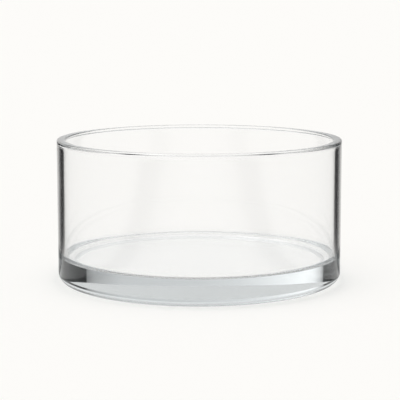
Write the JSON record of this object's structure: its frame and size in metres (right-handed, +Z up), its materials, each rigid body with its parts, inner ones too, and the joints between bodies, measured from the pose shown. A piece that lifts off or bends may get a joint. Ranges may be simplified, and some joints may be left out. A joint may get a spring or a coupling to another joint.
{
  "type": "crystallizing dish",
  "caption": "Low round flat-bottomed glass dish with upright walls, a heavy base and a fire-polished rim, for evaporating and crystallizing solutions.",
  "frame": {"origin": "on the dish's axis, in the plane of the foot ring that it stands on", "axes": "+Z up along the axis of revolution, out of the open mouth; X and Y are any two level directions, because the dish is round"},
  "size_m": [0.1, 0.1, 0.05],
  "materials": {
    "clear_glass": "clear, fire-polished, colourless with a faint blue-grey cast in the thick base"
  },
  "bodies": {
    "root": {"dish": "clear_glass"}
  },
  "joints": []
}
